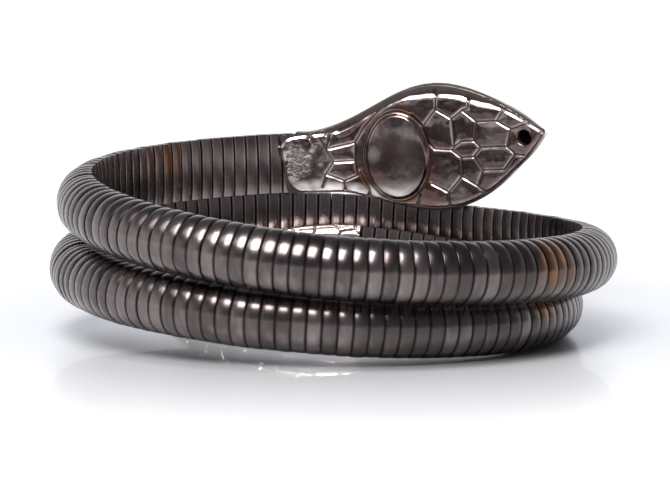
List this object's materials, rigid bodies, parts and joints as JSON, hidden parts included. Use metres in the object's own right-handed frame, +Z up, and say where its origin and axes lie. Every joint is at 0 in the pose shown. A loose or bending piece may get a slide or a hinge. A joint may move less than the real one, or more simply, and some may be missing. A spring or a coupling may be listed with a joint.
{
  "type": "snake bracelet",
  "caption": "Springy coiled bracelet of half-round ribs that winds almost twice round the wrist, with a cast snake head and a scaled tail cap.",
  "frame": {"origin": "on the surface that the bracelet lies on, under the middle of the coil", "axes": "+Z up through the wrist opening, +Y towards the back where the head lies, +X to the right of the head's tip side"},
  "size_m": [0.065, 0.0654, 0.0265],
  "materials": {
    "band_silver": "tarnished, polished crowns with dark grooves",
    "cast_silver": "tarnished casting with brown film in the lines",
    "spring_steel": "dark satin"
  },
  "bodies": {
    "root": {"head": "cast_silver", "ribs_upper_turn": "band_silver", "ribs_lower_turn": "band_silver", "spring_core": "spring_steel", "tail_cap": "cast_silver"}
  },
  "joints": []
}
